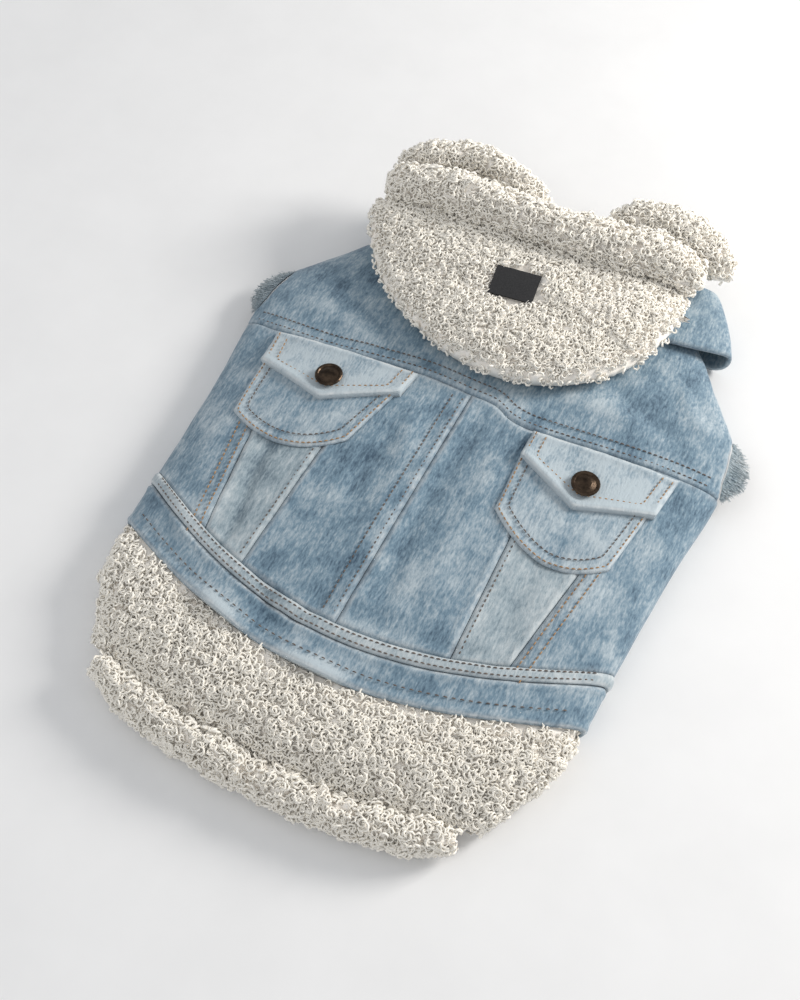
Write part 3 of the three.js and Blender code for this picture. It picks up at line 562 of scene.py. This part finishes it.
def arched(a, middle, b, u):
    a, middle, b = (np.array(p, float) for p in (a, middle, b))
    pull = 2 * middle - (a + b) / 2
    w = u[:, None]
    return (a * (1 - w) + pull * w) * (1 - w) + (pull * (1 - w) + b * w) * w


def plan_patch(upper, lower, rows):
    w = np.linspace(0, 1, rows)[:, None, None]
    plan = lower[None] * (1 - w) + upper[None] * w
    return body_point(t_at(plan[..., 0], plan[..., 1]), plan[..., 1])


u = np.linspace(0, 1, 60)
for word, side in SIDES:
    inner, outer, low_a, mid, low_b = POCKETS[word]
    ends = (inner, outer, low_a, low_b) if side > 0 else (outer, inner, low_b, low_a)
    grid = plan_patch(mix(ends[0], ends[1], u), arched(ends[2], mid, ends[3], u), 50)
    obj = cloth(f"pocket_{word}_cloth", grid, -GAP, BLUE, raise_by=GAP + PATCH, tint=0.04)
    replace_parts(obj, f"pocket_{word}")
    inner, outer, low_a, tip, low_b = FLAPS[word]
    ends = (inner, outer, low_a, low_b) if side > 0 else (outer, inner, low_b, low_a)
    grid = plan_patch(mix(ends[0], ends[1], u), bent(ends[2], tip, ends[3], u), 36)
    lift = 2 * GAP + 2 * PATCH + FLAP_TIP_LIFT * np.linspace(1, 0, 36)[:, None] ** 2
    obj = cloth(f"flap_{word}_cloth", grid, 1.0, BLUE, raise_by=lift)
    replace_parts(obj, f"flap_{word}")

# ---------------------------------------------------------------- collar

k = np.linspace(0, 7, 36)
KK, TT = np.meshgrid(k, np.linspace(0, 1, 160, endpoint=False), indexing="ij")
half = collar_sizes(KK)[0]
middle = 2 + (half - SIDE_ROUND) / FLAT_STEP
T = -middle + 2 * middle * TT
grid = section(collar_sizes(KK), T, collar_y(KK) + collar_rise(KK) * share(T) ** 4)
obj = cloth("collar_cloth", grid, DENIM, BLUE, folds=0.0, pucker=0.25 * smooth(grid[..., 2], 2, 10),
               ring=True, turned=0.0, tint=0.05)
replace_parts(obj, "collar")

# ---------------------------------------------------------------- fleece


def pile_lift(points):
    """The clumped surface of curly pile, in millimetres."""
    clumps = noise_at(points, 5.5, 2.2)
    return 4.2 * np.abs(clumps) + 0.7 * noise_at(points, 2.6, 7.7) + 1.1 * noise_at(points, 16.0, 4.4) - 0.6


def curls(name, points, n, count, long, thick, keep=None):
    """Short curved tufts scattered over a grid, joined in one mesh."""
    area = cell_areas(points)
    if keep is not None:
        area = area * keep[:-1, :-1]
    pick = rng.choice(area.size, count, p=(area / area.sum()).ravel())
    i, j = np.unravel_index(pick, area.shape)
    a, b = rng.random((2, count, 1))
    near = points[i, j] * (1 - a) * (1 - b) + points[i + 1, j] * a * (1 - b)
    base = near + points[i, j + 1] * (1 - a) * b + points[i + 1, j + 1] * a * b
    up = n[i, j]
    spin = rng.normal(size=(count, 3))
    side = spin - up * (spin * up).sum(1, keepdims=True)
    side /= np.linalg.norm(side, axis=1, keepdims=True)
    other = np.cross(up, side)
    steps, around = 5, 3
    size = long * (0.6 + 0.8 * rng.random((count, 1)))
    verts = []
    for s in range(steps):
        w = s / (steps - 1)
        angle = w * 4.2 + 0.2
        centre = base + side * (size * 0.36 * np.sin(angle)) + up * (size * 0.5 * np.sin(w * 2.6) - 0.2) \
            + other * (size * 0.34 * (1 - np.cos(angle)) - size * 0.25)
        fat = thick * (0.35 + 0.65 * math.sin(math.pi * (0.12 + 0.8 * w)))
        for r in range(around):
            turn = 2 * math.pi * r / around
            verts.append(centre + up * fat * math.cos(turn) + other * fat * math.sin(turn) * math.cos(angle)
                         - side * fat * math.sin(turn) * math.sin(angle))
    verts = np.stack(verts, 1)
    per = steps * around
    quads = [(s * around + r, (s + 1) * around + r, (s + 1) * around + (r + 1) % around,
              s * around + (r + 1) % around) for s in range(steps - 1) for r in range(around)]
    faces = (np.arange(count)[:, None, None] * per + np.array(quads)[None]).reshape(-1, 4).tolist()
    # Painted shade: each curl is coloured darker near its root and tip and paler at the top of its loop.
    depth = np.tile(np.repeat(np.sin(np.linspace(0.3, 2.6, steps)), around), count) * 0.5 + 0.45
    obj = make_mesh(name, verts.reshape(-1, 3), faces, CURL, {"depth": depth})
    return obj


def fleece_piece(name, node, grid, thick, count, flip=False, ring=False, form="padded", long=3.6, keep=None,
                 taper=None):
    n = normals(grid) * (-1 if flip else 1)
    lift = pile_lift(grid) * (1 if taper is None else taper)
    outer = grid + n * lift[..., None]
    # Painted shade: the pile is coloured darker the lower it lies between clumps, and the roll end caps get a
    # fixed dark value.
    depth = np.clip(0.45 + 0.25 * lift, 0, 1)
    if ring:
        rows, cols = grid.shape[:2]
        caps = np.stack([grid[0].mean(0), grid[-1].mean(0)])
        _, faces = shell(outer, outer, True)
        faces = faces[:(rows - 1) * cols]
        vertices = np.concatenate([outer.reshape(-1, 3), caps])
        at = rows * cols
        faces += [(at, (j + 1) % cols, j) for j in range(cols)]
        faces += [(at + 1, at - cols + j, at - cols + (j + 1) % cols) for j in range(cols)]
        values = np.concatenate([depth.ravel(), [0.3, 0.3]])
    else:
        inner = grid - n * thick
        vertices, faces = shell(outer, inner)
        values = np.concatenate([depth.ravel(), depth.ravel()])
    obj = make_mesh(name, vertices, faces, PILE, {"depth": values})
    if flip:
        obj.data.flip_normals()
    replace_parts(obj, node)
    fluff = curls(f"{name}_curls", outer, n, count, 1.15 * long, 0.74, keep)
    if form == "padded":
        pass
    else:
        width, length, area = flat_size(grid)


def crease(x):
    return CREASE_CENTRE_Y + CREASE_RISE * np.abs(x / CREASE_HALF) ** 2.4


V, T = np.meshgrid(np.linspace(0, 1, 60), np.linspace(-BAND_END_T, BAND_END_T, 170), indexing="ij")
sizes = tail_sizes(V)
start = waist_seam(T) - TAIL_TUCK
Y = start + (crease(share(T) * np.minimum(sizes[0], CREASE_HALF)) - start) * V
tail = section(sizes, T, Y)
under_band = smooth(V, 0.18, 0.4)
seen = smooth(tail[..., 2], 1, 4) * under_band
fleece_piece("tail_fleece", "tail_panel", tail, 7.5, 6000, flip=True, form="sheet", keep=seen, taper=seen)


def roll_grid(path, sides):
    x, y, z, deep, high = path
    direction = np.gradient(np.stack([x, y], 1), axis=0)
    direction /= np.linalg.norm(direction, axis=1, keepdims=True)
    across = np.stack([-direction[:, 1], direction[:, 0], 0 * x], 1)
    turn = np.linspace(0, 2 * np.pi, sides, endpoint=False)
    return (np.stack([x, y, z], 1)[:, None] + across[:, None] * (deep[:, None] * np.cos(turn))[..., None]
            + np.array([0, 0, 1.0]) * (high[:, None] * np.sin(turn))[..., None])


def roll_piece(name, node, path, count, sides=44):
    x, y, z, deep, high = path
    grid = roll_grid((x, y, z, deep - 1.2, high - 1.2), sides)
    grid[..., 2] = np.maximum(grid[..., 2], 0.9)
    probe = normals(grid)[len(x) // 2, sides // 4]
    flip = probe[2] < 0
    taper = smooth(grid[..., 2], (z - high)[:, None] + 0.5, (z - high)[:, None] + 5)
    fleece_piece(name, node, grid, 0, count, flip=flip, ring=True, keep=taper + 0.02,
                 taper=0.3 + 0.7 * taper)


def table_path(table, steps, power=2.4):
    k = np.arange(len(table["x"]))
    s = np.linspace(0, k[-1], steps)
    columns = ("x", "y", "z", "deep", "high")
    x, y, z, deep, high = (curve(dict(k=k, v=table[key]), "k", "v")(s) for key in columns)
    end = np.clip(np.minimum(s, k[-1] - s) / 0.7, 0, 1)
    round_off = np.sqrt(1 - (1 - end) ** 2) * 0.8 + 0.2
    return x, y, z, deep * round_off, high * round_off


x = np.linspace(-93, 93, 150)
slope = (crease(x + 1) - crease(x - 1)) / 2
down = np.stack([slope, -np.ones_like(x)], 1)
down /= np.linalg.norm(down, axis=1, keepdims=True)
end = np.sqrt(np.maximum(1 - (np.abs(x) / 96) ** 6, 0))
roll_piece("hem_roll_fleece", "hem_roll", (x + down[:, 0] * 8.5, crease(x) + down[:, 1] * 8.5, 10 + 0 * x,
                                           8.6 * end, 10 * end ** 0.6), 3200)
roll_piece("hood_brim_fleece", "hood_brim", table_path(BRIM, 130), 3400)
roll_piece("hood_lobe_left_fleece", "hood_lobe_left", table_path(LOBE_LEFT, 80), 1500)
roll_piece("hood_lobe_right_fleece", "hood_lobe_right", table_path(LOBE_RIGHT, 80), 1500)


def section_top(sizes, x):
    t = np.arcsin(np.minimum(np.abs(x), 70) / sizes[0]) * 2 / np.pi
    return section(sizes, t, 0 * x)[..., 2]


def hood_rest(x, y):
    on_body = section_top(body_sizes(y), x)
    on_collar = section_top(collar_sizes(collar_row(np.clip(y - 8, 140, 186))), x)
    return 0.8 + on_body + (on_collar - on_body) * smooth(y, 108, 130)


def hood_plan(rows, cols, inset, last_y=None, margin=5):
    V, B = np.meshgrid(np.linspace(0, 1, rows), np.linspace(-184 + margin, 8 - margin, cols), indexing="ij")
    reach = hood_reach(B) - inset
    X = -12 + reach * np.cos(np.radians(B))
    edge_y = 150 + reach * np.sin(np.radians(B))
    stop = brim_y(X) - brim_deep(X) - GAP if last_y is None else last_y + 0 * X
    first = np.minimum(edge_y, stop - 0.5)
    return X, first + (stop - first) * (1 - (1 - V) ** 0.625 if last_y is None else V)


X, Y = hood_plan(56, 120, 1.0)
B = np.degrees(np.arctan2(Y - 150, X + 12))
B = np.where(B > 90, B - 360, B)
out = np.minimum(np.hypot(X + 12, Y - 150) / (hood_reach(B) - 1.0), 1)
crown = np.stack([X, Y, hood_rest(X, Y) + 5.9 + 15 * (1 - out ** 2.6) ** (1 / 2.6) - 1.2], -1)
keep = 0.3 + 0.7 * smooth(out, 1.0, 0.9)
on_label = hump(np.hypot((X + 5.5) / 1.2, Y - 122.5), 17)
flat_spot = 1 - np.minimum(on_label * 3, 1)
fleece_piece("hood_crown_fleece", "hood_crown", crown, 6.0, 5600, form="padded", keep=keep * flat_spot,
             taper=keep * (0.1 + 0.9 * flat_spot), long=3.0)
X, Y = hood_plan(20, 60, 4, 186, 8)
fleece_piece("hood_under_fleece", "hood_under", np.stack([X, Y, hood_rest(X, Y) + 4.4], -1), 4.2, 400,
             form="sheet", taper=0.3)

# ---------------------------------------------------------------- stitches


def on_back(plan, lift):
    """Points on the back's surface at plan positions."""
    plan = np.asarray(plan, float)
    point = body_point(t_at(plan[:, 0], plan[:, 1]), plan[:, 1])
    point[:, 2] += lift + fold_height(point)
    return point


def resample(points, step):
    seg = np.linalg.norm(np.diff(points, axis=0), axis=1)
    s = np.concatenate([[0], np.cumsum(seg)])
    at = np.arange(0, s[-1], step)
    return np.stack([np.interp(at, s, points[:, k]) for k in range(points.shape[1])], 1)


def stitch_mesh(name, lines, material, pitch=3.0, radius=0.34):
    verts, faces = [], []
    for plan, lift in lines:
        path = on_back(resample(np.asarray(plan, float), 1.0), lift)
        path = resample(path, pitch)
        for a, b in zip(path[:-1], path[1:]):
            way = (b - a) / np.linalg.norm(b - a)
            cross = np.cross(way, (0, 0, 1.0))
            up = np.cross(cross, way)
            a, b = a + way * pitch * 0.14, b - way * pitch * 0.14
            start = len(verts)
            for w, fat, high in ((0, 0.4, -0.25), (0.3, 1, 0.2), (0.7, 1, 0.2), (1, 0.4, -0.25)):
                centre = a * (1 - w) + b * w + up * high
                for turn in np.arange(5) * 2 * math.pi / 5:
                    verts.append(centre + radius * fat * (cross * math.cos(turn) + up * math.sin(turn)))
            for s in range(3):
                for r in range(5):
                    n = (r + 1) % 5
                    at = start + s * 5
                    faces.append((at + r, at + n, at + 5 + n, at + 5 + r))
            faces.append(tuple(start + r for r in range(4, -1, -1)))
            faces.append(tuple(start + 15 + r for r in range(5)))
    obj = make_mesh(name, verts, faces, material)
    obj.data.flip_normals()
    return obj


def seam_line(function, x0, x1, offset, steps=80):
    xs = np.linspace(x0, x1, steps)
    return np.stack([xs, [float(function(x)) + offset for x in xs]], 1)


def along_y(function, side, offset, y0=-80, y1=52):
    ys = np.linspace(y0, y1, 60)
    return np.stack([side * (function(ys) + offset), ys], 1)


def waist_at(offset):
    def at(x):
        return -92 + 42 * (x / 127) ** 2 + offset
    return at


tan_lines, brown_lines = [], []
for offset in (3.5, 9.0):
    brown_lines.append((seam_line(yoke_at, -132, 132, offset), 0.35))
brown_lines.append((along_y(lambda y: 0 * y, 1, -3.0, -88, 57), 0.35))
brown_lines.append((along_y(lambda y: 0 * y, 1, -9.0, -88, 57), 0.35))
for side in (-1, 1):
    brown_lines.append((along_y(inner_seam, side, 3.0), 0.35))
    tan_lines.append((along_y(outer_seam, side, 3.0), 0.35))
    tan_lines.append((along_y(outer_seam, side, 8.0), 0.35))
for offset in (-1.8, -5.8):
    brown_lines.append((seam_line(waist_at(offset), -122, 122, 0), 1.2))
xs = np.linspace(-119, 119, 120)
lower = np.stack([xs, -119 + 36 * (xs / 124) ** 2 + 7.5], 1)
for word, side in SIDES:
    inner, outer, low_a, mid, low_b = POCKETS[word]
    rim = arched(low_a, mid, low_b, np.linspace(0, 1, 40))
    outline = np.concatenate([[np.array(inner) * (1, 1)], rim, [outer]])
    centre = np.array([side * 74.0, 24.0])
    for inset, into in ((1.8, tan_lines), (7.0, brown_lines)):
        shift = outline - centre
        scale = 1 - inset / np.linalg.norm(shift, axis=1, keepdims=True)
        into.append((centre + shift * scale, PATCH + 0.9))
    inner, outer, low_a, tip, low_b = (np.array(p, float) for p in FLAPS[word])
    shape = np.array([inner, low_a, tip, low_b, outer])
    centre = np.array([side * 74.0, 46.0])
    for inset, into in ((2.0, tan_lines), (7.0, tan_lines)):
        shift = shape - centre
        scale = 1 - inset * 1.15 / np.linalg.norm(shift, axis=1, keepdims=True)
        into.append((centre + shift * scale, 2 * (GAP + PATCH) + 1.2))
stitch_mesh("tan_stitches", tan_lines, THREAD)
stitch_mesh("brown_stitches", brown_lines, BROWN)


def lower_row():
    plan = resample(lower, 1.0)
    return plan, 0.6 + band_lift(plan[:, 0]) * 0.62 ** 1.5


plan, lift = lower_row()
band_lines = [(plan[k:k + 5], float(lift[k])) for k in range(0, len(plan) - 5, 4)]
stitch_mesh("band_stitches", band_lines, BROWN, 2.9)

# ---------------------------------------------------------------- frayed armhole edges

for word, side in SIDES:
    verts, faces = [], []
    for strand in range(420):
        y = rng.uniform(68, 105)
        edge = body_point(np.array(side * float(yoke_edge(y))), np.array(y))
        swell = math.sqrt(max(float(hump(y - 86.5, 20.0)), 0.03))
        long = (10.8 * swell + 0.5) * rng.uniform(0.72, 1.12)
        drift, drop = rng.normal(0, 1.6), 5.2 * swell
        start = len(verts)
        for step in range(5):
            w = step / 4
            sway, curl = 0.5 * math.sin(7 * w + strand), 0.35 * math.sin(5 * w + 2 * strand)
            centre = edge + np.array([side * (0.2 + long * w), drift * w * w + sway,
                                      -drop * w + curl + rng.uniform(-0.5, 0.2)])
            for turn in (0.5, 2.6, 4.7):
                verts.append(centre + 0.3 * (1 - 0.4 * w) * np.array([0, math.cos(turn), math.sin(turn)]))
        for step in range(4):
            for r in range(3):
                n = (r + 1) % 3
                base = start + step * 3
                faces.append((base + r, base + n, base + 3 + n, base + 3 + r))
    count = len(verts)
    # Along each thread the colour runs darker at the root to paler at the tip.
    fringe = make_mesh(f"frill_{word}_threads", verts, faces, GREY,
                       {"fade": np.tile(np.repeat(np.linspace(0.2, 1.1, 5), 3), count // 15),
                        "wear": np.zeros(count)})
    if side < 0:
        fringe.data.flip_normals()
    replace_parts(fringe, f"frill_{word}")

# ---------------------------------------------------------------- kept CAD nodes

for name, material in (("button_left", BRONZE), ("button_right", BRONZE), ("label", WOVEN)):
    node = bpy.data.objects[name] if name in bpy.data.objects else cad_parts[name]
    node.data.materials.clear()
    node.data.materials.append(material)

# ---------------------------------------------------------------- floor, lights and camera

floor_material = plain("paper", (0.83, 0.83, 0.83), (0.86, 0.86, 0.86), 20, 0.9, 0, 0.0)
floor_mesh = bpy.data.meshes.new("floor")
floor_mesh.from_pydata([(-4, -4, 0), (4, -4, 0), (4, 4, 0), (-4, 4, 0)], [], [(0, 1, 2, 3)])
floor_mesh.materials.append(floor_material)
floor = bpy.data.objects.new("floor", floor_mesh)
bpy.context.scene.collection.objects.link(floor)

CAMERA = Vector((167.6, -350.9 + SHIFT_Y, 619.5)) * MM
TARGET = Vector((-9.45, -5.23 + SHIFT_Y, 10)) * MM
camera_data = bpy.data.cameras.new("camera")
camera_data.sensor_fit = "VERTICAL"
camera_data.sensor_height = 36
camera_data.lens = 50.03
camera = bpy.data.objects.new("camera", camera_data)
camera.location = CAMERA
camera.rotation_euler = (TARGET - CAMERA).to_track_quat("-Z", "Y").to_euler()
bpy.context.scene.collection.objects.link(camera)
bpy.context.scene.camera = camera


def area_light(name, place, size, power, tint=(1, 1, 1)):
    data = bpy.data.lights.new(name, "AREA")
    data.size, data.energy, data.color = size, power, tint
    lamp = bpy.data.objects.new(name, data)
    lamp.location = place
    lamp.rotation_euler = (-Vector(place)).to_track_quat("-Z", "Y").to_euler()
    bpy.context.scene.collection.objects.link(lamp)


area_light("key", (0.85, 0.75, 0.62), 0.45, 15.5, (1.0, 0.97, 0.93))
area_light("fill", (-0.9, -0.3, 1.1), 1.4, 3.0)
area_light("front", (0.2, -1.2, 0.9), 1.2, 2.4)
world = bpy.data.worlds.new("studio")
world.use_nodes = True
world.node_tree.nodes["Background"].inputs["Color"].default_value = (0.95, 0.97, 1.0, 1)
world.node_tree.nodes["Background"].inputs["Strength"].default_value = 0.5
bpy.context.scene.world = world
bpy.context.scene.view_settings.view_transform = "Standard"
